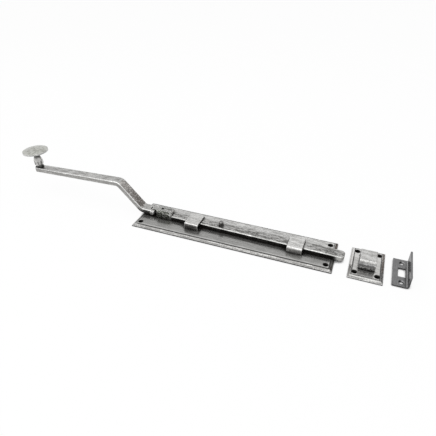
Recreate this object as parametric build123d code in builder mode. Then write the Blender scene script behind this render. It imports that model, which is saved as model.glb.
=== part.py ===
from build123d import *
from math import atan, cos, degrees, radians, sin, tan
import os

# A hand-forged french door bolt in millimetres. The origin is the centre of the back plate's
# rear face, +X runs along the bar towards its nose, and +Z stands out of the door.

# Back plate and its moulded border
plate_length = 230.0
plate_width = 51.0
plate_thickness = 3.0
edge_height = 1.0
bevel_width = 2.6
quirk_inset = 0.4
quirk_width = 0.6
quirk_depth = 0.4

# Screw holes of the two bevelled plates
screw_radius = 2.1
screw_head_radius = 3.0
screw_angle = 90.0
plate_screw_inset_x = 7.5
plate_screw_inset_y = 8.5

# Sliding bar
bar_width = 12.5
bar_thickness = 5.0
running_gap = 0.3
fit_gap = 0.05
nose_reach = 9.0
nose_radius = 4.0
bar_edge = 0.7

# Keepers, two bent straps riveted through the plate
keeper_width = 22.6
keeper_length = 16.5
keeper_strap = 1.6
keeper_bend = 2.4
rear_keeper_setback = 69.0  # from the rear end of the plate
front_keeper_setback = 42.0  # from the front end of the plate
tenon_length = 8.0
strap_edge = 0.35

# Stop stud on the bar, between the keepers
stud_from_keeper = 32.0
stud_radius = 2.75
stud_height = 5.2
stud_bevel = 0.8
stud_spigot_radius = 1.6

# Bowed leaf spring in the underside of the bar
spring_from_stud = 36.0
spring_length = 44.0
spring_width = 7.0
spring_leaf = 0.5
spring_pocket_depth = 1.4
spring_side_gap = 0.4
spring_end_gap = 1.0
spring_rub_gap = 0.1

# Knuckle block, slotted over the tail of the bar, with a tongue for the arm at its rear
block_setback = 40.3  # from the rear end of the plate to the front of the block
block_length = 20.6
block_width = 13.7
block_height = 9.2
block_front_bend = 5.2
block_rear_bend = 2.4
block_shoulder = 2.0
tail_thickness = 4.3
tail_length = 13.2
tail_end_gap = 2.3
tail_drop = 0.6
tail_bend = 3.9
block_rivet_radius = 1.8
block_rivet_setback = 9.3
tongue_thickness = 4.4

# Swing pin through the fork of the arm and the tongue of the block
pin_setback = 5.5  # from the rear of the block
pin_z = 6.9
pin_radius = 2.0
pin_play = 0.06
pin_head_radius = 3.2
pin_head_height = 2.0
pin_peen_radius = 2.6
pin_peen_height = 0.7
pin_dimple_radius = 1.1
pin_dimple_depth = 0.5
pin_bevel = 0.4
pin_head_bevel = 0.9

# Cranked pull arm: forked end, low run, crank and high run that falls a little towards the knob
arm_width = 12.5
arm_end_width = 11.0
arm_thickness = 5.8
fork_reach = 3.3
fork_top_bend = 1.0
fork_under_bend = 2.4
arm_low_run = 14.7
arm_crank_run = 29.1
arm_taper_run = 112.0
arm_high_run = 127.4
crank_angle = 45.5
run_fall = 2.75
arm_inner_bend = 5.0
arm_end_corner = 2.6
arm_edge = 0.6
fork_slot_play = 0.25
heel_reach = 3.8
heel_gap = 0.1

# Knob: a fluted stem with a neck, and a shallow domed head
knob_from_end = 5.6
stem_foot_radius = 5.0
stem_foot_height = 1.4
stem_waist_radius = 4.2
stem_waist_height = 2.2
stem_barrel_radius = 5.4
stem_barrel_start = 4.4
stem_barrel_end = 9.4
stem_neck_radius = 3.0
stem_neck_height = 16.8
stem_flare_radius = 4.2
stem_height = 19.8
stem_spigot_radius = 2.2
stem_spigot_height = 3.0
stem_rivet_radius = 2.6
flute_count = 8
flute_radius = 0.9
flute_depth = 0.55
flute_end_gap = 0.4
flute_turn = -6.6  # degrees round the stem, from the run of the arm
head_radius = 15.4
head_rim = 1.9
head_dome = 3.0
head_dish = 1.0
head_boss_radius = 5.0

# Keep plate and its bridge
keep_gap = 14.9
keep_length = 34.0
keep_width = 50.0
keep_screw_inset_x = 6.0
keep_screw_inset_y = 7.8
bridge_width = 23.4
bridge_length = 16.2
bridge_rise = 11.0
bridge_strap = 2.0
bridge_bend = 4.6
bridge_tenon_length = 9.0

# Angle plate for a bolt that shoots into a rebate or sill
angle_gap = 8.0
angle_width = 42.0
angle_foot = 16.0
angle_height = 14.6
angle_sheet = 1.8
angle_bend = 1.0
mortice_length = 7.4
mortice_width = 14.0
mortice_from_edge = 8.7
angle_screw_inset = 6.0
angle_screw_radius = 1.9
angle_screw_head_radius = 2.8

# The keepers are loose, so the bolt lies a degree askew, with its arm end towards +Y
lay_gap = 0.25  # from the bar to the far leg of the rear keeper
lay_pivot_setback = 3.0  # from the front end of the plate, where the bar lies midway

# Places that follow from the sizes above
rear_keeper_x = rear_keeper_setback - plate_length / 2
front_keeper_x = plate_length / 2 - front_keeper_setback
stud_x = rear_keeper_x + stud_from_keeper
spring_x = stud_x + spring_from_stud
block_front_x = block_setback - plate_length / 2
block_rivet_x = block_front_x - block_rivet_setback
bar_bottom = plate_thickness + running_gap
bar_top = bar_bottom + bar_thickness
keeper_top = bar_top + running_gap + keeper_strap
nose_x = plate_length / 2 + nose_reach
block_rear_x = block_front_x - block_length
pin_x = block_rear_x - pin_setback
arm_low_bend_x = pin_x - arm_low_run
arm_high_bend_x = arm_low_bend_x - arm_crank_run
arm_end_x = arm_high_bend_x - arm_high_run
tail_end_x = block_front_x - tail_length
lay_pivot_x = plate_length / 2 - lay_pivot_setback
lay_play = keeper_width / 2 - keeper_strap - bar_width / 2 - lay_gap
lay_run = lay_pivot_x - rear_keeper_x + keeper_length / 2
bolt_lay = degrees(atan(lay_play / lay_run))
heel_x = pin_x - heel_reach
tongue_top = pin_z + heel_reach
tongue_bottom = bar_bottom + running_gap
slot_bottom_x = heel_x - heel_gap
fork_slot_width = tongue_thickness + 2 * fork_slot_play
keep_x = plate_length / 2 + keep_gap + keep_length / 2
bridge_top = plate_thickness + bridge_rise
angle_free_x = keep_x + keep_length / 2 + angle_gap
angle_fold_x = angle_free_x + angle_foot
mortice_x = angle_free_x + mortice_from_edge

os.makedirs("parts", exist_ok=True)


def laid(piece):
    """A piece of the bolt or of its arm, turned with the bolt in the play of the keepers."""
    return piece.part.rotate(Axis((lay_pivot_x, 0, 0), (0, 0, 1)), -bolt_lay)


def bevelled_plate(x, length, width, inset_x, inset_y, straps):
    """A plate with a mitred bevel, a quirk inside it, four screw holes and strap mortices."""
    bevel_height = plate_thickness - edge_height
    with BuildPart() as plate:
        with BuildSketch():
            with Locations((x, 0)):
                Rectangle(length, width)
        extrude(amount=edge_height)
        with BuildSketch(Plane.XY.offset(edge_height)):
            with Locations((x, 0)):
                Rectangle(length, width)
        extrude(amount=bevel_height, taper=degrees(atan(bevel_width / bevel_height)))
        # The quirk is a fine groove that frames the flat of the plate.
        with BuildSketch(Plane.XY.offset(plate_thickness)):
            quirk_edge = 2 * (bevel_width + quirk_inset)
            with Locations((x, 0)):
                Rectangle(length - quirk_edge, width - quirk_edge)
                Rectangle(
                    length - quirk_edge - 2 * quirk_width,
                    width - quirk_edge - 2 * quirk_width,
                    mode=Mode.SUBTRACT,
                )
        extrude(amount=-quirk_depth, mode=Mode.SUBTRACT)
        with Locations((x, 0, plate_thickness)):
            with GridLocations(length - 2 * inset_x, width - 2 * inset_y, 2, 2):
                CounterSinkHole(screw_radius, screw_head_radius, counter_sink_angle=screw_angle)
        # Each strap is riveted through two mortices.
        for strap_x, strap_width, sheet, tenon in straps:
            with BuildSketch():
                with Locations((strap_x, 0)):
                    with GridLocations(0, strap_width - sheet, 1, 2):
                        Rectangle(tenon + 2 * fit_gap, sheet + 2 * fit_gap)
            extrude(amount=plate_thickness, mode=Mode.SUBTRACT)
    return plate.part


def bent_strap(x, width, length, sheet, bend, top, tenon):
    """A strap bent over square, with a tenon on each foot that fills the plate's mortice."""
    with BuildPart() as strap:
        with BuildSketch(Plane.YZ.offset(x)):
            with Locations((0, (plate_thickness + top) / 2)):
                Rectangle(width, top - plate_thickness)
            fillet(vertices().group_by(Axis.Y)[-1], radius=bend)
            with BuildSketch(mode=Mode.SUBTRACT):
                with Locations((0, (plate_thickness + top - sheet) / 2)):
                    Rectangle(width - 2 * sheet, top - sheet - plate_thickness)
                fillet(vertices().group_by(Axis.Y)[-1], radius=bend - sheet / 2)
        extrude(amount=length / 2, both=True)
        # The hammered ends lose their sharp outer arris, which runs on round both bends.
        ends = faces().filter_by(Axis.X)
        chamfer(ends.edges().group_by(Axis.Z)[-1], length=strap_edge)
        with BuildSketch():
            with Locations((x, 0)):
                with GridLocations(0, width - sheet, 1, 2):
                    Rectangle(tenon, sheet)
        extrude(amount=plate_thickness)
    return strap.part


back_plate = bevelled_plate(
    0,
    plate_length,
    plate_width,
    plate_screw_inset_x,
    plate_screw_inset_y,
    [
        (rear_keeper_x, keeper_width, keeper_strap, tenon_length),
        (front_keeper_x, keeper_width, keeper_strap, tenon_length),
    ],
)
back_plate.label = "back_plate"
export_step(back_plate, "parts/back_plate.step")

for keeper_name, keeper_x in (("rear_keeper", rear_keeper_x), ("front_keeper", front_keeper_x)):
    keeper = bent_strap(
        keeper_x, keeper_width, keeper_length, keeper_strap, keeper_bend, keeper_top, tenon_length
    )
    keeper.label = keeper_name
    export_step(keeper, f"parts/{keeper_name}.step")

# The bar is flat stock with a rounded nose. Its tail is forged on edge and fills the knuckle.
with BuildPart() as bolt_bar:
    with BuildSketch(Plane.XY.offset(bar_bottom)):
        with Locations(((block_front_x + nose_x) / 2, 0)):
            Rectangle(nose_x - block_front_x, bar_width)
        fillet(vertices().group_by(Axis.X)[-1], radius=nose_radius)
    extrude(amount=bar_thickness)
    top_rim = faces().sort_by(Axis.Z)[-1].edges().sort_by(Axis.X)[1:]
    chamfer(top_rim, length=bar_edge)
    with BuildSketch(Plane.XZ):
        with Locations((tail_end_x, bar_bottom)):
            Rectangle(tail_length, block_height - tail_drop, align=(Align.MIN, Align.MIN))
        fillet(vertices().group_by(Axis.Y)[-1].sort_by(Axis.X)[-1], radius=tail_bend)
    extrude(amount=tail_thickness / 2, both=True)
    # Pocket for the friction spring
    with BuildSketch(Plane.XY.offset(bar_bottom)):
        with Locations((spring_x, 0)):
            Rectangle(spring_length + 2 * spring_end_gap, spring_width + 2 * spring_side_gap)
    extrude(amount=spring_pocket_depth, mode=Mode.SUBTRACT)
    with BuildSketch(Plane.XY.offset(bar_bottom)):
        with Locations((stud_x, 0)):
            Circle(stud_spigot_radius + fit_gap)
    extrude(amount=bar_thickness, mode=Mode.SUBTRACT)
    with BuildSketch(Plane.XZ):
        with Locations((block_rivet_x, bar_bottom + block_height / 2)):
            Circle(block_rivet_radius + fit_gap)
    extrude(amount=block_width, both=True, mode=Mode.SUBTRACT)
bolt_bar.part.label = "bolt_bar"
export_step(laid(bolt_bar), "parts/bolt_bar.step")

# Round peg with a bevelled top, its spigot riveted through the bar
with BuildPart() as stop_stud:
    with BuildSketch(Plane(origin=(stud_x, 0, 0), x_dir=(1, 0, 0), z_dir=(0, -1, 0))):
        with BuildLine():
            Polyline(
                (0, bar_bottom),
                (stud_spigot_radius, bar_bottom),
                (stud_spigot_radius, bar_top),
                (stud_radius, bar_top),
                (stud_radius, bar_top + stud_height - stud_bevel),
                (stud_radius - stud_bevel, bar_top + stud_height),
                (0, bar_top + stud_height),
                close=True,
            )
        make_face()
    revolve(axis=Axis((stud_x, 0, 0), (0, 0, 1)))
stop_stud.part.label = "stop_stud"
export_step(laid(stop_stud), "parts/stop_stud.step")

# The leaf bows down from the roof of its pocket until it just rubs on the plate.
with BuildPart() as friction_spring:
    pocket_roof = bar_bottom + spring_pocket_depth
    leaf_end = (spring_x + spring_length / 2, pocket_roof - spring_leaf)
    leaf_start = (spring_x - spring_length / 2, pocket_roof - spring_leaf)
    leaf_crown = plate_thickness + spring_rub_gap
    with BuildSketch(Plane.XZ):
        with BuildLine():
            under = ThreePointArc(leaf_start, (spring_x, leaf_crown), leaf_end)
            Line(under @ 1, (leaf_end[0], pocket_roof))
            over = ThreePointArc(
                (leaf_end[0], pocket_roof),
                (spring_x, leaf_crown + spring_leaf),
                (leaf_start[0], pocket_roof),
            )
            Line(over @ 1, under @ 0)
        make_face()
    extrude(amount=spring_width / 2, both=True)
friction_spring.part.label = "friction_spring"
export_step(laid(friction_spring), "parts/friction_spring.step")

# Forged knuckle: cheeks astride the tail of the bar, and a tongue whose square heel stops the arm
with BuildPart() as knuckle_block:
    with BuildSketch(Plane.XZ):
        with Locations((block_rear_x, bar_bottom)):
            Rectangle(block_length, block_height, align=(Align.MIN, Align.MIN))
        upper = vertices().group_by(Axis.Y)[-1].sort_by(Axis.X)
        fillet(upper[-1], radius=block_front_bend)
        fillet(upper[0], radius=block_rear_bend)
    extrude(amount=block_width / 2, both=True)
    cheek_edges = faces().filter_by(Axis.Y).edges()
    chamfer(cheek_edges - cheek_edges.group_by(Axis.Z)[0], length=block_shoulder)
    with BuildSketch(Plane.XZ):
        with Locations((heel_x, tongue_bottom)):
            Rectangle(
                block_rear_x + block_rear_bend - heel_x,
                tongue_top - tongue_bottom,
                align=(Align.MIN, Align.MIN),
            )
        fillet(vertices().group_by(Axis.Y)[-1].sort_by(Axis.X)[0], radius=heel_reach - heel_gap)
    extrude(amount=tongue_thickness / 2, both=True)
    # Slot for the tail, open at the front, top and bottom, and a little longer than the tail
    with BuildSketch(Plane.XY.offset(bar_bottom)):
        with Locations((block_front_x, 0)):
            Rectangle(
                tail_length + tail_end_gap,
                tail_thickness + 2 * fit_gap,
                align=(Align.MAX, Align.CENTER),
            )
    extrude(amount=block_height, mode=Mode.SUBTRACT)
    with BuildSketch(Plane.XZ):
        with Locations((pin_x, pin_z)):
            Circle(pin_radius + pin_play)
        with Locations((block_rivet_x, bar_bottom + block_height / 2)):
            Circle(block_rivet_radius + fit_gap)
    extrude(amount=block_width, both=True, mode=Mode.SUBTRACT)
knuckle_block.part.label = "knuckle_block"
export_step(laid(knuckle_block), "parts/knuckle_block.step")

with BuildPart() as knuckle_rivet:
    with BuildSketch(Plane.XZ):
        with Locations((block_rivet_x, bar_bottom + block_height / 2)):
            Circle(block_rivet_radius)
    extrude(amount=block_width / 2, both=True)
knuckle_rivet.part.label = "knuckle_rivet"
export_step(laid(knuckle_rivet), "parts/knuckle_rivet.step")

# The pin has a bevelled head on the far side and is peened over, with a punch mark, on the near side.
with BuildPart() as swing_pin:
    with BuildSketch(Plane(origin=(pin_x, 0, pin_z), x_dir=(1, 0, 0), z_dir=(0, 0, 1))):
        near_end = -arm_width / 2 - pin_peen_height
        far_end = arm_width / 2 + pin_head_height
        with BuildLine():
            Polyline(
                (0, near_end + pin_dimple_depth),
                (pin_dimple_radius, near_end),
                (pin_peen_radius - pin_bevel, near_end),
                (pin_peen_radius, near_end + pin_bevel),
                (pin_peen_radius, -arm_width / 2),
                (pin_radius, -arm_width / 2),
                (pin_radius, arm_width / 2),
                (pin_head_radius, arm_width / 2),
                (pin_head_radius, far_end - pin_head_bevel),
                (pin_head_radius - pin_head_bevel, far_end),
                (0, far_end),
                close=True,
            )
        make_face()
    revolve(axis=Axis((pin_x, 0, pin_z), (0, 1, 0)))
swing_pin.part.label = "swing_pin"
export_step(laid(swing_pin), "parts/swing_pin.step")


def meet(point_a, angle_a, point_b, angle_b):
    """Where two lines in the XZ plane cross, each given by a point and an angle in degrees."""
    run_a = (cos(radians(angle_a)), sin(radians(angle_a)))
    run_b = (cos(radians(angle_b)), sin(radians(angle_b)))
    cross = run_a[0] * run_b[1] - run_a[1] * run_b[0]
    across = (point_b[0] - point_a[0]) * run_b[1] - (point_b[1] - point_a[1]) * run_b[0]
    return (point_a[0] + run_a[0] * across / cross, point_a[1] + run_a[1] * across / cross)


def off_line(point, angle, distance):
    """A point moved square to a line that runs at the given angle."""
    return (point[0] - sin(radians(angle)) * distance, point[1] + cos(radians(angle)) * distance)


# The arm is drawn from the side as a band about its middle line, then trimmed in plan.
low_bend = (arm_low_bend_x, pin_z)
high_bend = (
    arm_high_bend_x,
    pin_z + (arm_low_bend_x - arm_high_bend_x) * tan(radians(crank_angle)),
)
arm_end = (arm_end_x, high_bend[1] + (arm_end_x - arm_high_bend_x) * tan(radians(run_fall)))
half = arm_thickness / 2
run_dir = (cos(radians(run_fall)), 0, sin(radians(run_fall)))
stem_dir = (-sin(radians(run_fall)), 0, cos(radians(run_fall)))
knob_middle = (arm_end[0] + knob_from_end * run_dir[0], arm_end[1] + knob_from_end * run_dir[2])
knob_foot = (knob_middle[0] + half * stem_dir[0], 0, knob_middle[1] + half * stem_dir[2])
flank_slant = 10.0
arm_reach = pin_x + fork_reach + arm_thickness - arm_end_x
knob_seat = Plane(origin=knob_foot, x_dir=run_dir, z_dir=stem_dir)
knob_section = Plane(origin=knob_foot, x_dir=run_dir, z_dir=(0, -1, 0))
knob_axis = Axis(knob_foot, stem_dir)
run_plan = Plane(origin=(arm_end[0], 0, arm_end[1]), x_dir=run_dir, z_dir=stem_dir)
arm_outline = []
for side in (half, -half):
    low_start = (pin_x + fork_reach, pin_z + side)
    crank_point = off_line(low_bend, -crank_angle, side)
    run_point = off_line(high_bend, run_fall, side)
    side_points = [
        low_start,
        meet(low_start, 0, crank_point, -crank_angle),
        meet(crank_point, -crank_angle, run_point, run_fall),
        meet(run_point, run_fall, arm_end, 90 + run_fall),
    ]
    arm_outline.append(side_points)
with BuildPart() as pull_arm:
    with BuildSketch(Plane.XZ):
        with BuildLine():
            Polyline(*arm_outline[0], *reversed(arm_outline[1]), close=True)
        make_face()
        fork_top, top_low, top_high = arm_outline[0][:3]
        fork_under, under_low, under_high = arm_outline[1][:3]
        for corner, bend in (
            (fork_top, fork_top_bend),
            (fork_under, fork_under_bend),
            (top_low, arm_inner_bend),
            (under_low, arm_inner_bend + arm_thickness),
            (top_high, arm_inner_bend + arm_thickness),
            (under_high, arm_inner_bend),
        ):
            fillet(vertices().sort_by_distance(Vector(*corner))[0], radius=bend)
    extrude(amount=arm_width / 2, both=True)
    with BuildSketch(run_plan):
        with BuildLine():
            Polyline(
                (arm_reach, arm_width / 2),
                (arm_taper_run, arm_width / 2),
                (0, arm_end_width / 2),
                (0, -arm_end_width / 2),
                (arm_taper_run, -arm_width / 2),
                (arm_reach, -arm_width / 2),
                close=True,
            )
        make_face()
        chamfer(vertices().group_by(Axis.X)[0], length=arm_end_corner)
    extrude(amount=arm_high_run, both=True, mode=Mode.INTERSECT)
    # The long arrises of both flanks, which stand within a few degrees of square to Y, are broken.
    flanks = faces().filter_by(lambda face: abs(face.normal_at().Y) > cos(radians(flank_slant)))
    arrises = flanks.edges().filter_by(Axis.Y, reverse=True).filter_by(knob_axis, reverse=True)
    chamfer(arrises, length=arm_edge)
    # Fork for the tongue, and the holes for the swing pin and the foot of the knob
    with BuildSketch(Plane.XY.offset(pin_z)):
        with Locations((slot_bottom_x, 0)):
            Rectangle(heel_reach + 2 * fork_reach, fork_slot_width, align=(Align.MIN, Align.CENTER))
    extrude(amount=arm_thickness, both=True, mode=Mode.SUBTRACT)
    with BuildSketch(Plane.XZ):
        with Locations((pin_x, pin_z)):
            Circle(pin_radius + fit_gap)
    extrude(amount=arm_width, both=True, mode=Mode.SUBTRACT)
    with BuildSketch(knob_seat):
        Circle(stem_rivet_radius + fit_gap)
    extrude(amount=-arm_thickness, mode=Mode.SUBTRACT)
pull_arm.part.label = "pull_arm"
export_step(laid(pull_arm), "parts/pull_arm.step")

# Fluted stem, drawn upwards from its seat on the arm
with BuildPart() as knob_stem:
    with BuildSketch(knob_section):
        with BuildLine():
            Polyline(
                (0, -arm_thickness),
                (stem_rivet_radius, -arm_thickness),
                (stem_rivet_radius, 0),
                (stem_foot_radius, 0),
                (stem_foot_radius, stem_foot_height),
                (stem_waist_radius, stem_waist_height),
                (stem_barrel_radius, stem_barrel_start),
                (stem_barrel_radius, stem_barrel_end),
                (stem_neck_radius, stem_neck_height),
                (stem_flare_radius, stem_height),
                (stem_spigot_radius, stem_height),
                (stem_spigot_radius, stem_height + stem_spigot_height),
                (0, stem_height + stem_spigot_height),
                close=True,
            )
        make_face()
    revolve(axis=knob_axis)
    # Straight flutes, stopped a little short of both ends of the barrel
    with Locations(knob_seat.offset((stem_barrel_start + stem_barrel_end) / 2).location):
        flute_length = stem_barrel_end - stem_barrel_start - 2 * flute_end_gap
        with PolarLocations(stem_barrel_radius + flute_radius - flute_depth, flute_count, flute_turn):
            Cylinder(flute_radius, flute_length, mode=Mode.SUBTRACT)
knob_stem.part.label = "knob_stem"
export_step(laid(knob_stem), "parts/knob_stem.step")

# Shallow domed head with a thin rim, riveted on the spigot of the stem
with BuildPart() as knob_head:
    head_under = stem_height + head_dish
    dome_top = head_under + head_rim + head_dome
    dome_radius = (head_radius**2 + head_dome**2) / (2 * head_dome)
    blank_top = dome_top + head_rim
    with BuildSketch(knob_section):
        with BuildLine():
            Polyline(
                (0, stem_height),
                (head_boss_radius, stem_height),
                (head_boss_radius, head_under),
                (head_radius, head_under),
                (head_radius, blank_top),
                (0, blank_top),
                close=True,
            )
        make_face()
    revolve(axis=knob_axis)
    # The blank is turned down to a large sphere, which meets the side of the head at the rim.
    with Locations(knob_seat.offset(dome_top - dome_radius).location):
        Sphere(dome_radius, rotation=(90, 0, 0), mode=Mode.INTERSECT)
    with BuildSketch(knob_seat.offset(stem_height)):
        Circle(stem_spigot_radius + fit_gap)
    extrude(amount=stem_spigot_height + fit_gap, mode=Mode.SUBTRACT)
knob_head.part.label = "knob_head"
export_step(laid(knob_head), "parts/knob_head.step")

keep_plate = bevelled_plate(
    keep_x,
    keep_length,
    keep_width,
    keep_screw_inset_x,
    keep_screw_inset_y,
    [(keep_x, bridge_width, bridge_strap, bridge_tenon_length)],
)
keep_plate.label = "keep_plate"
export_step(keep_plate, "parts/keep_plate.step")

keep_bridge = bent_strap(
    keep_x, bridge_width, bridge_length, bridge_strap, bridge_bend, bridge_top, bridge_tenon_length
)
keep_bridge.label = "keep_bridge"
export_step(keep_bridge, "parts/keep_bridge.step")

# Folded sheet with a mortice for the nose of the bar
with BuildPart() as angle_plate:
    with BuildSketch(Plane.XZ):
        with BuildLine():
            Polyline(
                (angle_free_x, 0),
                (angle_fold_x, 0),
                (angle_fold_x, angle_height),
                (angle_fold_x - angle_sheet, angle_height),
                (angle_fold_x - angle_sheet, angle_sheet),
                (angle_free_x, angle_sheet),
                close=True,
            )
        make_face()
        outer_fold = (angle_fold_x, 0)
        inner_fold = (angle_fold_x - angle_sheet, angle_sheet)
        fillet(vertices().sort_by_distance(Vector(*outer_fold))[0], radius=angle_bend + angle_sheet)
        fillet(vertices().sort_by_distance(Vector(*inner_fold))[0], radius=angle_bend)
    extrude(amount=angle_width / 2, both=True)
    with BuildSketch():
        with Locations((mortice_x, 0)):
            Rectangle(mortice_length, mortice_width)
    extrude(amount=angle_sheet, mode=Mode.SUBTRACT)
    with Locations((mortice_x, 0, angle_sheet)):
        with GridLocations(0, angle_width - 2 * angle_screw_inset, 1, 2):
            CounterSinkHole(
                angle_screw_radius,
                angle_screw_head_radius,
                depth=angle_sheet,
                counter_sink_angle=screw_angle,
            )
angle_plate.part.label = "angle_plate"
export_step(angle_plate.part, "parts/angle_plate.step")
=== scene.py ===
import math
import bpy
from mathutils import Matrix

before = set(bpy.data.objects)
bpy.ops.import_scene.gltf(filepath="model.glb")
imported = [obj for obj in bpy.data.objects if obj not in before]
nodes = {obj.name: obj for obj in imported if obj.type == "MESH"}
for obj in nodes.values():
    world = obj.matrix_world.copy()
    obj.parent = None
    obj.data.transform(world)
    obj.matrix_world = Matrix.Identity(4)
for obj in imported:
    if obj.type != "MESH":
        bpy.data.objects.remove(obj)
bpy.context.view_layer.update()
print("frame loaded:", len(nodes), "nodes")


class Signal:
    # One output socket; arithmetic on it adds Math nodes to the same tree
    def __init__(self, tree, socket):
        self.tree = tree
        self.socket = socket

    def maths(self, operation, first, second=0.0):
        return self.tree.node("ShaderNodeMath", {"operation": operation}, {0: first, 1: second})

    def __add__(self, other):
        return self.maths("ADD", self, other)

    def __radd__(self, other):
        return self.maths("ADD", other, self)

    def __sub__(self, other):
        return self.maths("SUBTRACT", self, other)

    def __rsub__(self, other):
        return self.maths("SUBTRACT", other, self)

    def __mul__(self, other):
        return self.maths("MULTIPLY", self, other)

    def __rmul__(self, other):
        return self.maths("MULTIPLY", other, self)

    def __abs__(self):
        return self.maths("ABSOLUTE", self)

    def root(self):
        return self.maths("SQRT", self)

    def greater(self, other):
        return self.maths("MAXIMUM", self, other)

    def between(self, low, high):
        # 0 at low, 1 at high, and a smooth rise between them
        return self.tree.node(
            "ShaderNodeMapRange",
            {"interpolation_type": "SMOOTHSTEP"},
            {"Value": self, "From Min": low, "From Max": high, "To Min": 0.0, "To Max": 1.0},
        )

    def within(self, low, full, waning, high):
        # 1 from full to waning, 0 up to low and from high
        return self.between(low, full) * (1 - self.between(waning, high))

    def lifted(self, least):
        # The same rise, but from least to 1 instead of from 0 to 1
        return self * (1 - least) + least


class Tree:
    # The nodes of a material, or of the world, under construction
    def __init__(self, block):
        block.use_nodes = True
        self.block = block
        self.block.node_tree.nodes.clear()

    def node(self, kind, settings=None, sockets=None, output=0):
        made = self.block.node_tree.nodes.new(kind)
        for key, value in (settings or {}).items():
            setattr(made, key, value)
        for key, value in (sockets or {}).items():
            if isinstance(value, Signal):
                self.block.node_tree.links.new(value.socket, made.inputs[key])
            else:
                made.inputs[key].default_value = value
        return Signal(self, made.outputs[output]) if made.outputs else None

    def split(self, vector):
        # The three numbers of a vector
        separate = self.node("ShaderNodeSeparateXYZ", {}, {"Vector": vector}).socket.node
        return [Signal(self, socket) for socket in separate.outputs]

    def seen(self):
        # 1 for what the camera sees, straight or by way of metal or glass, and 0 for the light that falls
        camera = self.node("ShaderNodeLightPath", output="Is Camera Ray")
        mirrored = self.node("ShaderNodeLightPath", output="Is Glossy Ray")
        through = self.node("ShaderNodeLightPath", output="Is Transmission Ray")
        return camera.greater(mirrored).greater(through)


class Paint(Tree):
    # A material that depends on the place on its piece, which is in metres
    def __init__(self, name):
        super().__init__(bpy.data.materials.new(name))
        self.place = self.node("ShaderNodeTexCoord", output="Object")
        self.x, self.y, self.z = self.split(self.place)

    def facing(self):
        # How far the surface faces along X, Y and Z, each from -1 to 1
        return self.split(self.node("ShaderNodeTexCoord", output="Normal"))

    def stretched(self, scale):
        return self.node("ShaderNodeMapping", {}, {"Vector": self.place, "Scale": scale})

    def noise(self, where, scale, detail=3.0, rough=0.55, warp=0.0):
        sockets = {"Vector": where, "Scale": scale, "Detail": detail, "Roughness": rough, "Distortion": warp}
        return self.node("ShaderNodeTexNoise", {"noise_dimensions": "3D"}, sockets, "Fac")

    def dents(self, scale):
        # Shallow bowls side by side, as a hammer leaves them
        sockets = {"Vector": self.place, "Scale": scale}
        return self.node("ShaderNodeTexVoronoi", {"feature": "SMOOTH_F1"}, sockets, "Distance")

    def colour(self, mask, under, over):
        # A Mix node's sockets 6 and 7 and its output 2 are the ones for colours
        settings = {"data_type": "RGBA", "blend_type": "MIX"}
        return self.node("ShaderNodeMix", settings, {0: mask, 6: under, 7: over}, 2)

    def rounded(self, radius):
        # The surface normal as if every edge were rounded
        return self.node("ShaderNodeBevel", {"samples": 6}, {"Radius": radius}, "Normal")

    def edge(self, rounded):
        # How far an edge's rounding turns the normal: 0 on a flat, towards 1 at an edge
        flat = self.node("ShaderNodeNewGeometry", output="Normal")
        settings = {"operation": "DOT_PRODUCT"}
        return 1 - self.node("ShaderNodeVectorMath", settings, {0: flat, 1: rounded}, "Value")

    def openness(self, reach, samples=6, local=True):
        # 1 where the surface is open round about, and less in corners and grooves.
        # When it isn't local, other pieces close it in as well.
        settings = {"samples": samples, "only_local": local}
        return self.node("ShaderNodeAmbientOcclusion", settings, {"Distance": reach}, "AO")

    def bump(self, height, strength, distance, normal):
        sockets = {"Height": height, "Strength": strength, "Distance": distance, "Normal": normal}
        return self.node("ShaderNodeBump", {}, sockets, "Normal")

    def finish(self, sockets):
        surface = self.node("ShaderNodeBsdfPrincipled", {}, sockets, "BSDF")
        self.node("ShaderNodeOutputMaterial", {}, {"Surface": surface})
        return self.block


def dress(node, material):
    # Gives a carried-over CAD node its finish
    data = nodes[node].data
    data.materials.clear()
    data.materials.append(material)


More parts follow.
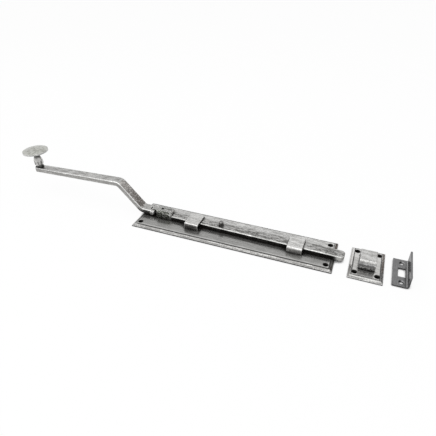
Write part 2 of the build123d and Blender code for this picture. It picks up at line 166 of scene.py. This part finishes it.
# Forged steel with a dark patina, burnished bright on its tops and worn brighter on its edges.
# Each piece adds the tones of its "flats" and "sides", where they are rubbed least and most.
# Places and lengths are in metres, and a mark that is None here is on a few pieces only.
burnished = {
    "dark": (0.012, 0.011, 0.010, 1),  # soot, painted shade, and the pits
    "worn": (0.84, 0.84, 0.83, 1),  # bare edges
    "metal": 0.96,
    "specular": 0.1,
    "roughness": 0.22,
    "roughnessMore": 0.10,  # what the spots that aren't rubbed add
    "grainRoughness": 0.04,
    # Rubbing
    "streakStretch": (0.10, 1, 1),
    "streakScale": 700,
    "grainScale": 800,
    "cloudScale": 80,
    "markRange": (0.40, 0.60),  # noise between which streaks and grain set in
    "cloudRange": (0.35, 0.65),
    "rubShares": (0.45, 0.43, 0.12),  # of streaks, grain and clouds
    "rubRange": (0.15, 0.85),
    "fleckRange": (0.48, 0.62),
    "upFacing": (0.15, 0.75),  # how far up a surface must face to be a flat and not a side
    # Hammer marks and pits
    "hammer": 0.35,
    "hammerScale": 110,
    "streakRelief": 0.10,
    "grainRelief": 0.08,
    "relief": 0.30,
    "reliefDepth": 0.0004,
    "pitting": 0.5,
    "pitRange": (0.54, 0.64),
    # Worn edges
    "edgeRadius": 0.0009,
    "edgeRange": (0.004, 0.08),
    "edgeOpen": (0.80, 0.97),  # edges in corners and grooves are spared
    "edgeWear": (0.45, 0.55),  # least wear, and what clouds and streaks add
    "edgeCloud": (0.38, 0.60),
    "sideWear": 0.6,  # how much of that wear the sides get
    # Slopes, where they differ from the flats
    "slopes": None,  # their tones where they are rubbed least and most
    "slopeFacing": (0.35, 0.55, 0.80, 0.97),  # how far up slopes face: none, all, all, none
    "slopeRise": None,  # heights between which they lighten upwards
    "slopeLift": 0.25,
    "nearSlopes": None,  # painted shade: darker tones for those on the near side, which mirror the lamp
    "nearFacing": (-0.6, -0.3),
    # Flats on the far side
    "farTone": None,
    "farPlace": None,  # places across between which they lighten
    "farEven": 0.2,  # the least share of that tone, between the rubbed spots
    # Sides of the tip that stands clear, lighter than the painted shade on the rest of the sides
    "tipTone": None,
    "tipPlace": None,  # places along between which it begins
    "tipEven": 0.85,
    # Painted highlight on narrow slants between tops and sides
    "paintedArrisHighlight": None,
    "arrisFacing": (0.35, 0.55, 0.80, 0.92),  # how far across they face: none, all, all, none
    "arrisEven": 0.4,
    # Painted highlight on slants that lean towards the nose
    "paintedBrowHighlight": None,
    "browFacing": (0.25, 0.50),
    "browEven": 0.3,
    # Soot in grooves and corners: dark patina in the hollows, and painted shade
    "grooveReach": 0.0016,
    "grooveRange": (0.45, 0.92),
    # Painted shade low down, near where the piece meets what lies below
    "low": None,  # heights between which it thins upwards
    "lowRagged": 0.4,  # how far the grain frays it
    "lowFacing": (-0.85, -0.60),  # undersides are spared
    "lowSpared": 0.0,  # how far the flats are spared
    # Painted shadow high up, under something wider
    "high": None,  # heights between which it gathers
    "paintedShadowHigh": 0.8,
    # Painted shade beside other pieces, where they close the surface in
    "paintedContactShade": None,  # their reach
    "paintedContactShadeRange": (0.50, 0.90),
    # Groove that frames a plate
    "quirk": None,  # its middle and half sizes
    "quirkWidth": (0.0005, 0.0012),
    "quirkShade": 0.75,
    "quirkFar": (0.0, 0.015),  # places across between which it grows fainter
    "quirkFaint": 0.9,
    "quirkEnd": None,  # places along between which its shade sets in
    "quirkArris": None,  # tone of the rubbed edge along its inner side
    "quirkInside": (-0.0034, -0.0020, -0.0014, -0.0008),  # where that edge lies, from the groove's middle
    "quirkEven": 0.5,
    # Dark line low on a plate's bevel
    "rim": None,  # its middle and half sizes
    "rimWidth": (0.0002, 0.0007),
    "rimShade": 0.3,
    "rimFlecks": 0.66,
    # Painted shade on the faces of a strap where the bar goes in and out
    "paintedEndShade": 0.0,
    "paintedEndFacing": (0.75, 0.95),
    # Countersinks, and a dimple in a side, darkened with patina and painted shade
    "holes": None,  # middle and half pitches of four, and the radii between which they end
    "dimple": None,  # place along, height, and the radii between which it ends
}


def disc(offX, offY, inner, outer):
    # 1 up to inner from a point, 0 from outer on; offX and offY are how far off it a place is
    return 1 - (offX * offX + offY * offY).root().between(inner, outer)


def beyond(paint, middle, halfX, halfY):
    # How far a place lies beyond a rectangle's sides, along and across, and less than 0 inside them
    return abs(paint.x - middle) - halfX, abs(paint.y) - halfY


def inHoles(paint, middle, halfX, halfY, inner, outer):
    # 1 inside four countersinks at the corners of a rectangle
    offX, offY = beyond(paint, middle, halfX, halfY)
    return disc(offX, offY, inner, outer)


def outside(paint, middle, halfX, halfY):
    # How far a place lies outside the rectangle as a whole, and less than 0 inside it
    offX, offY = beyond(paint, middle, halfX, halfY)
    return offX.greater(offY)


def addSlopes(paint, want, flat, fleck, facingY, rise):
    spots = fleck
    if want["slopeRise"]:
        spots = fleck + paint.z.between(*want["slopeRise"]) * want["slopeLift"]
    slopes = paint.colour(spots, *want["slopes"])
    if want["nearSlopes"]:
        # Painted shade on the near slopes, which mirror the lamp
        toward = 1 - facingY.between(*want["nearFacing"])
        slopes = paint.colour(toward, slopes, paint.colour(spots, *want["nearSlopes"]))
    return paint.colour(rise.within(*want["slopeFacing"]), flat, slopes)


# Painted shade low down on the piece, frayed by the grain
def addPaintedLowShade(paint, want, sootAndShade, grainy, rise, up):
    height = paint.z.between(*want["low"]) + (grainy - 0.5) * want["lowRagged"]
    lowness = 1 - height.between(0.0, 1.0)
    spared = up * want["lowSpared"]
    return sootAndShade.greater(lowness * rise.between(*want["lowFacing"]) * (1 - spared))


def addQuirk(paint, want, body, sootAndShade, rub):
    away = outside(paint, *want["quirk"])
    near = 1 - paint.y.between(*want["quirkFar"]) * want["quirkFaint"]
    if want["quirkArris"]:
        arris = away.within(*want["quirkInside"]) * near * rub.lifted(want["quirkEven"])
        body = paint.colour(arris, body, want["quirkArris"])
    if want["quirkEnd"]:
        near = near * paint.x.between(*want["quirkEnd"])
    groove = 1 - abs(away).between(*want["quirkWidth"])
    return body, sootAndShade.greater(groove * near * want["quirkShade"])


def addRim(paint, want, sootAndShade, fleck, up):
    line = 1 - abs(outside(paint, *want["rim"])).between(*want["rimWidth"])
    return sootAndShade.greater(line * up * (1 - fleck * want["rimFlecks"]) * want["rimShade"])


def addDimple(paint, want, sootAndShade, up):
    middle, height, inner, outer = want["dimple"]
    return sootAndShade.greater(disc(paint.x - middle, paint.z - height, inner, outer) * (1 - up))


def makeBurnished(name, tones):
    want = {**burnished, **tones}
    paint = Paint(name)
    facingX, facingY, rise = paint.facing()
    up = rise.between(*want["upFacing"])
    opened = paint.openness(want["grooveReach"])
    rounded = paint.rounded(want["edgeRadius"])

    # Rubbing is streaks, grain and a few clouds, and flecks are streaks and grain alone
    along = paint.stretched(want["streakStretch"])
    streak = paint.noise(along, want["streakScale"], detail=4.0, rough=0.6)
    grain = paint.noise(paint.place, want["grainScale"], detail=2.0, rough=0.6)
    cloud = paint.noise(paint.place, want["cloudScale"], warp=0.5)
    streakShare, grainShare, cloudShare = want["rubShares"]
    streaky = streak.between(*want["markRange"])
    grainy = grain.between(*want["markRange"])
    cloudy = cloud.between(*want["cloudRange"])
    rub = (streaky * streakShare + grainy * grainShare + cloudy * cloudShare).between(*want["rubRange"])
    fleck = ((streak + grain) * 0.5).between(*want["fleckRange"])

    flat = paint.colour(rub, *want["flats"])
    if want["slopes"]:
        flat = addSlopes(paint, want, flat, fleck, facingY, rise)
    if want["farTone"]:
        far = paint.y.between(*want["farPlace"]) * rub.lifted(want["farEven"])
        flat = paint.colour(far, flat, want["farTone"])
    side = paint.colour(fleck, *want["sides"])
    if want["tipTone"]:
        tip = paint.x.between(*want["tipPlace"]) * fleck.lifted(want["tipEven"])
        side = paint.colour(tip, side, want["tipTone"])
    body = paint.colour(up, side, flat)
    # Painted highlight on the narrow slants
    if want["paintedArrisHighlight"]:
        arris = abs(facingY).within(*want["arrisFacing"]) * rub.lifted(want["arrisEven"])
        body = paint.colour(arris, body, want["paintedArrisHighlight"])
    # Painted highlight on slants that lean towards the nose
    if want["paintedBrowHighlight"]:
        brow = facingX.between(*want["browFacing"]) * fleck.lifted(want["browEven"])
        body = paint.colour(brow, body, want["paintedBrowHighlight"])

    # Where soot and old wax lie, and where shade is painted, the surface is black and dull instead of metal
    # Dark patina and painted shade in grooves and corners, from how closed in they are
    sootAndShade = 1 - opened.between(*want["grooveRange"])
    # Painted shade low down
    if want["low"]:
        sootAndShade = addPaintedLowShade(paint, want, sootAndShade, grainy, rise, up)
    # Painted shadow high up, under something wider
    if want["high"]:
        sootAndShade = sootAndShade.greater(paint.z.between(*want["high"]) * want["paintedShadowHigh"])
    # Painted shade beside other pieces
    if want["paintedContactShade"]:
        reached = paint.openness(want["paintedContactShade"], samples=8, local=False)
        sootAndShade = sootAndShade.greater(1 - reached.between(*want["paintedContactShadeRange"]))
    if want["quirk"]:
        body, sootAndShade = addQuirk(paint, want, body, sootAndShade, rub)
    if want["rim"]:
        sootAndShade = addRim(paint, want, sootAndShade, fleck, up)
    # Painted shade on faces that face along the bar
    if want["paintedEndShade"]:
        sootAndShade = sootAndShade.greater(abs(facingX).between(*want["paintedEndFacing"]) * want["paintedEndShade"])
    # Patina and painted shade in the countersinks
    if want["holes"]:
        sootAndShade = sootAndShade.greater(inHoles(paint, *want["holes"]))
    # Patina and painted shade in the dimple
    if want["dimple"]:
        sootAndShade = addDimple(paint, want, sootAndShade, up)

    least, more = want["edgeWear"]
    edge = paint.edge(rounded).between(*want["edgeRange"]) * opened.between(*want["edgeOpen"])
    spread = cloud.greater(streak).between(*want["edgeCloud"]) * more + least
    pitted = paint.colour(grain.between(*want["pitRange"]) * want["pitting"], body, want["dark"])
    worn = paint.colour(edge * up.lifted(want["sideWear"]) * spread, pitted, want["worn"])

    relief = paint.dents(want["hammerScale"]) * want["hammer"]
    relief = relief + streak * want["streakRelief"] + grain * want["grainRelief"]
    return paint.finish({
        "Base Color": paint.colour(sootAndShade, worn, want["dark"]),
        "Metallic": (1 - sootAndShade) * want["metal"],
        "Specular IOR Level": want["specular"],
        "Roughness": (1 - rub) * want["roughnessMore"] + grain * want["grainRoughness"] + want["roughness"],
        "Normal": paint.bump(relief, want["relief"], want["reliefDepth"], rounded),
    })


# Back plate, with painted shade beside the bar, and lighter behind it
plateTones = {
    "flats": ((0.256, 0.254, 0.246, 1), (0.4, 0.398, 0.389, 1)),
    "sides": ((0.40, 0.397, 0.388, 1), (0.80, 0.797, 0.78, 1)),
    "slopes": ((0.25, 0.246, 0.24, 1), (0.54, 0.537, 0.524, 1)),
    "farTone": (0.72, 0.718, 0.704, 1),
    "farPlace": (0.002, 0.012),
    "roughness": 0.17,
    "roughnessMore": 0.06,
    "hammer": 0.10,
    "pitting": 0.2,
    "edgeRadius": 0.0006,
    "edgeWear": (0.22, 0.30),
    "sideWear": 0.1,
    "grooveReach": 0.004,
    "paintedContactShade": 0.011,
    "paintedContactShadeRange": (0.60, 0.92),
    "quirk": (0, 0.1117, 0.0222),
    "quirkEnd": (-0.112, -0.106),
    "quirkArris": (0.54, 0.537, 0.524, 1),
    "rim": (0, 0.1142, 0.0247),
    "holes": (0, 0.1075, 0.017, 0.00291, 0.00315),
}
dress("back_plate", makeBurnished("burnished_plate", plateTones))

# Keep plate, made like the back plate and lighter
keepTones = {
    **plateTones,
    "flats": ((0.46, 0.455, 0.442, 1), (0.63, 0.624, 0.607, 1)),
    "sides": ((0.56, 0.557, 0.546, 1), (0.86, 0.857, 0.84, 1)),
    "slopes": ((0.66, 0.645, 0.63, 1), (0.86, 0.857, 0.84, 1)),
    "nearSlopes": ((0.34, 0.337, 0.328, 1), (0.60, 0.597, 0.584, 1)),
    "paintedContactShade": 0.004,
    "paintedContactShadeRange": (0.50, 0.90),
    "quirk": (0.1469, 0.0137, 0.0217),
    "quirkShade": 0.42,
    "quirkEnd": None,
    "quirkArris": None,
    "rim": (0.1469, 0.0162, 0.0242),
    "rimShade": 0.45,
    "holes": (0.1469, 0.011, 0.0172, 0.00291, 0.00315),
}
dress("keep_plate", makeBurnished("burnished_keep", keepTones))

rearKeeperTones = {
    "flats": ((0.38, 0.377, 0.366, 1), (0.70, 0.697, 0.683, 1)),
    "sides": ((0.10, 0.098, 0.095, 1), (0.36, 0.357, 0.35, 1)),
    "streakScale": 600,
    "grainScale": 600,
    "upFacing": (0.45, 0.9),
    "pitting": 0.15,
    "edgeRadius": 0.0014,
    "edgeWear": (0.75, 0.25),
    "sideWear": 1.0,
    "paintedEndShade": 0.8,
}
dress("rear_keeper", makeBurnished("burnished_rear_keeper", rearKeeperTones))

frontKeeperTones = {
    "flats": ((0.42, 0.417, 0.406, 1), (0.78, 0.777, 0.762, 1)),
    "sides": ((0.32, 0.317, 0.31, 1), (0.66, 0.656, 0.64, 1)),
    "streakScale": 600,
    "grainScale": 600,
    "pitting": 0.25,
    "paintedEndShade": 0.9,
}
dress("front_keeper", makeBurnished("burnished_front_keeper", frontKeeperTones))

bridgeTones = {
    "flats": ((0.40, 0.397, 0.386, 1), (0.70, 0.697, 0.684, 1)),
    "sides": ((0.17, 0.168, 0.17, 1), (0.60, 0.596, 0.59, 1)),
    "slopes": ((0.30, 0.297, 0.29, 1), (0.54, 0.537, 0.524, 1)),
    "roughness": 0.15,
    "streakScale": 600,
    "grainScale": 600,
    "pitting": 0.25,
    "low": (0.003, 0.0085),
    "paintedEndShade": 0.9,
}
dress("keep_bridge", makeBurnished("burnished_bridge", bridgeTones))
print("plates, keepers and bridge dressed")

# Bar with nearly black sides, dark patina and painted shade from the plate, lighter only where the tip
# stands clear of the plate
barTones = {
    "flats": ((0.12, 0.118, 0.112, 1), (0.56, 0.557, 0.545, 1)),
    "sides": ((0.012, 0.012, 0.011, 1), (0.09, 0.088, 0.084, 1)),
    "slopes": ((0.40, 0.40, 0.385, 1), (0.80, 0.80, 0.78, 1)),
    "farTone": (0.56, 0.558, 0.544, 1),
    "farPlace": (0.002, 0.009),
    "tipTone": (0.46, 0.457, 0.443, 1),
    "tipPlace": (0.112, 0.118),
    "streakStretch": (0.18, 1, 1),
    "streakScale": 560,
    "grainScale": 560,
    "cloudScale": 130,
    "edgeWear": (0.20, 0.55),
    "paintedContactShade": 0.006,
}
dress("bolt_bar", makeBurnished("burnished_bar", barTones))

studTones = {
    "flats": ((0.176, 0.174, 0.168, 1), (0.32, 0.318, 0.308, 1)),
    "sides": ((0.09, 0.088, 0.085, 1), (0.30, 0.297, 0.285, 1)),
    "edgeWear": (0.0, 0.2),
}
dress("stop_stud", makeBurnished("burnished_stud", studTones))

# Knuckle block and its rivet, rougher and darker than the bar
blockTones = {
    "flats": ((0.21, 0.21, 0.20, 1), (0.50, 0.50, 0.486, 1)),
    "sides": ((0.025, 0.028, 0.023, 1), (0.52, 0.53, 0.48, 1)),
    "paintedBrowHighlight": (0.86, 0.86, 0.84, 1),
    "roughness": 0.34,
    "streakStretch": (1, 1, 1),
    "streakScale": 900,
    "upFacing": (0.78, 0.97),
    "hammer": 0.9,
    "hammerScale": 420,
    "edgeWear": (0.25, 0.60),
    "grooveReach": 0.003,
}
blockFinish = makeBurnished("rough_block", blockTones)
dress("knuckle_block", blockFinish)
dress("knuckle_rivet", blockFinish)
print("bar, stud and knuckle dressed")

armTones = {
    "flats": ((0.24, 0.237, 0.228, 1), (0.58, 0.577, 0.564, 1)),
    "sides": ((0.32, 0.316, 0.305, 1), (0.62, 0.616, 0.60, 1)),
    "slopes": ((0.16, 0.147, 0.137, 1), (0.74, 0.72, 0.70, 1)),
    "slopeRise": (0.016, 0.038),
    "paintedArrisHighlight": (0.90, 0.90, 0.89, 1),
    "streakStretch": (0.18, 1, 1),
    "streakScale": 600,
    "grainScale": 600,
    "edgeRadius": 0.0011,
    "edgeWear": (0.70, 0.30),
    "sideWear": 0.9,
    "low": (0.0045, 0.0135),
    "lowSpared": 0.9,
}
dress("pull_arm", makeBurnished("burnished_arm", armTones))

pinTones = {
    "flats": ((0.50, 0.497, 0.485, 1), (0.70, 0.697, 0.685, 1)),
    "sides": ((0.70, 0.697, 0.685, 1), (0.90, 0.897, 0.885, 1)),
    "streakStretch": (1, 1, 1),
    "dimple": (-0.1009, 0.0069, 0.00099, 0.00121),
}
dress("swing_pin", makeBurnished("burnished_pin", pinTones))

stemTones = {
    "flats": ((0.4, 0.397, 0.384, 1), (0.592, 0.588, 0.576, 1)),
    "sides": ((0.54, 0.536, 0.52, 1), (0.80, 0.795, 0.78, 1)),
    "streakStretch": (1, 1, 1),
    "hammer": 0.1,
    "grooveRange": (0.72, 0.97),
    "low": (0.0345, 0.0375),
    "high": (0.0450, 0.0490),
}
dress("knob_stem", makeBurnished("burnished_stem", stemTones))

headTones = {
    "flats": ((0.34, 0.343, 0.312, 1), (0.54, 0.544, 0.51, 1)),
    "sides": ((0.42, 0.42, 0.405, 1), (0.68, 0.68, 0.665, 1)),
    "streakStretch": (1, 1, 1),
    "streakScale": 220,
    "grainScale": 420,
    "cloudScale": 60,
    "hammer": 0.1,
    "pitting": 0.15,
}
dress("knob_head", makeBurnished("burnished_head", headTones))
print("arm, pin and knob dressed")

# Plain dark steel sheet, cleanly pressed
sheetSteel = {
    "tones": ((0.16, 0.16, 0.162, 1), (0.23, 0.23, 0.232, 1)),  # darkest and lightest
    "grainStretch": (1, 0.05, 1),
    "grainScale": 1600,
    "cloudScale": 120,
    "grainShare": 0.6,  # of the tones; clouds have the rest
    "toneRange": (0.35, 0.65),
    "metal": 0.9,
    "grazing": (0.70, 0.70, 0.70, 1),  # mirrors less than clean metal where it is seen along its face
    "roughness": 0.16,
    "grainRoughness": 0.1,
    "relief": 0.12,
    "reliefDepth": 0.0002,
    # Painted shade low on the upright, beside the fold
    "shade": (0.07, 0.07, 0.071, 1),
    "shadeHeights": (0.006, 0.015),
    "uprightFacing": (0.1, 0.3),
    # Painted highlight in the fold
    "bend": (0.70, 0.70, 0.70, 1),
    "bendPlace": (0.182, 0.184),
    "bendFacing": (0.2, 0.4, 0.8, 0.95),
    "bendShare": 0.5,
    # Cut edges
    "cut": (0.42, 0.42, 0.42, 1),
    "cutShare": 0.7,
    "edgeRadius": 0.0003,
    "edgeRange": (0.01, 0.12),
}


def makeSheetSteel(name):
    want = sheetSteel
    paint = Paint(name)
    rise = paint.facing()[2]
    grain = paint.noise(paint.stretched(want["grainStretch"]), want["grainScale"])
    cloud = paint.noise(paint.place, want["cloudScale"])
    spots = grain * want["grainShare"] + cloud * (1 - want["grainShare"])
    tone = paint.colour(spots.between(*want["toneRange"]), *want["tones"])
    # Painted shade low on the upright
    lowness = 1 - paint.z.between(*want["shadeHeights"])
    upright = 1 - rise.between(*want["uprightFacing"])
    tone = paint.colour(lowness * upright, tone, want["shade"])
    # Painted highlight in the fold
    foldHighlight = rise.within(*want["bendFacing"]) * paint.x.between(*want["bendPlace"])
    tone = paint.colour(foldHighlight * want["bendShare"], tone, want["bend"])
    rounded = paint.rounded(want["edgeRadius"])
    edge = paint.edge(rounded).between(*want["edgeRange"])
    return paint.finish({
        "Base Color": paint.colour(edge * want["cutShare"], tone, want["cut"]),
        "Metallic": want["metal"],
        "Specular Tint": want["grazing"],
        "Roughness": want["roughness"] + grain * want["grainRoughness"],
        "Normal": paint.bump(grain, want["relief"], want["reliefDepth"], rounded),
    })


dress("friction_spring", makeSheetSteel("spring_leaf"))
dress("angle_plate", makeSheetSteel("angle_sheet"))
print("spring and angle plate dressed")

# White paper sweep, which darkens only right under the piece, with a painted shadow under the plates' holes
floorSettings = {
    "size": 8.0,
    "drop": 0.0003,
    "paper": (0.92, 0.92, 0.92, 1),
    "paintedHoleShadow": (0.02, 0.02, 0.02, 1),
    "white": (1, 1, 1, 1),
    "whiteStrength": 1.01,
    "whiteShare": 0.92,  # how far the camera sees plain white instead of lit paper
    "contact": 0.006,  # how near the piece must be to darken it
    "contactRange": (0.50, 0.80),
}


def makeFloor():
    want = floorSettings
    bpy.ops.mesh.primitive_plane_add(size=want["size"], location=(0, 0, -want["drop"]))
    floor = bpy.context.object
    floor.name = "paper_floor"
    paint = Paint("white_paper")
    # Painted shadow on the paper under the plates' countersunk holes
    behind = inHoles(paint, *plateTones["holes"]).greater(inHoles(paint, *keepTones["holes"]))
    paper = paint.node("ShaderNodeBsdfDiffuse", {}, {"Color": want["paper"]})
    holeShadow = paint.node("ShaderNodeBsdfDiffuse", {}, {"Color": want["paintedHoleShadow"]})
    lit = paint.node("ShaderNodeMixShader", {}, {0: behind, 1: paper, 2: holeShadow})
    white = paint.node("ShaderNodeEmission", {}, {"Color": want["white"], "Strength": want["whiteStrength"]})
    clear = paint.openness(want["contact"], samples=16, local=False).between(*want["contactRange"])
    share = paint.seen() * clear * want["whiteShare"]
    surface = paint.node("ShaderNodeMixShader", {}, {0: share, 1: lit, 2: white})
    paint.node("ShaderNodeOutputMaterial", {}, {"Surface": surface})
    floor.data.materials.append(paint.block)


# A dark warm card behind and to the right, which shows only where the right-hand slopes mirror it
cardSettings = {
    "place": (1.41, 1.82, 0.62),
    "size": (1.10, 1.24, 1),  # width and height
    "turn": 52.0,  # degrees from +X to where it stands
    "cloth": (0.115, 0.07, 0.048, 1),
}


def makeCard():
    want = cardSettings
    bpy.ops.mesh.primitive_plane_add(size=1.0, location=want["place"])
    card = bpy.context.object
    card.name = "dark_card"
    card.scale = want["size"]
    card.rotation_euler = (math.radians(90), 0, math.radians(want["turn"] - 90))
    cloth = Tree(bpy.data.materials.new("dark_cloth"))
    surface = cloth.node("ShaderNodeBsdfDiffuse", {}, {"Color": want["cloth"]})
    cloth.node("ShaderNodeOutputMaterial", {}, {"Surface": surface})
    card.data.materials.append(cloth.block)
    card.visible_camera = False
    card.visible_diffuse = False
    card.visible_shadow = False


# A white room, which gives less light than it shows
roomSettings = {
    "white": (1, 1, 1, 1),
    "fill": 0.66,  # the light that it gives
}


def makeRoom():
    want = roomSettings
    room = Tree(bpy.data.worlds.new("white_room"))
    strength = room.seen().lifted(want["fill"])
    surface = room.node("ShaderNodeBackground", {}, {"Color": want["white"], "Strength": strength})
    room.node("ShaderNodeOutputWorld", {}, {"Surface": surface})
    bpy.context.scene.world = room.block


# One large soft lamp overhead, turned to the middle of the back plate
lampSettings = {
    "place": (-0.25, -0.35, 1.1),
    "size": 1.4,
    "power": 6.0,  # watts
}


def makeLamp():
    want = lampSettings
    bpy.ops.object.light_add(type="AREA", location=want["place"])
    lamp = bpy.context.object
    lamp.data.shape = "SQUARE"
    lamp.data.size = want["size"]
    lamp.data.energy = want["power"]
    lamp.rotation_euler = lamp.location.to_track_quat("Z", "Y").to_euler()


# The camera stands where the photograph was taken from
cameraSettings = {
    "place": (0.1212, -0.3568, 0.2821),
    "turn": 21.16,  # degrees to the left of straight ahead
    "fall": 34.51,  # degrees below level
    "focus": 414.3,  # focal length in pixels of the 436-pixel picture
    "picture": 436.0,
    "sensor": 36.0,  # millimetres
    "nearest": 0.01,
}


def makeCamera():
    want = cameraSettings
    data = bpy.data.cameras.new("photo_camera")
    data.sensor_width = want["sensor"]
    data.lens = want["focus"] / want["picture"] * want["sensor"]
    data.clip_start = want["nearest"]
    camera = bpy.data.objects.new("photo_camera", data)
    camera.location = want["place"]
    camera.rotation_euler = (math.radians(90 - want["fall"]), 0, math.radians(want["turn"]))
    bpy.context.scene.collection.objects.link(camera)
    bpy.context.scene.camera = camera


makeFloor()
makeCard()
print("floor and card ready")
makeRoom()
makeLamp()
print("room and lamp ready")
makeCamera()
bpy.context.scene.view_settings.view_transform = "Standard"
print("camera ready")
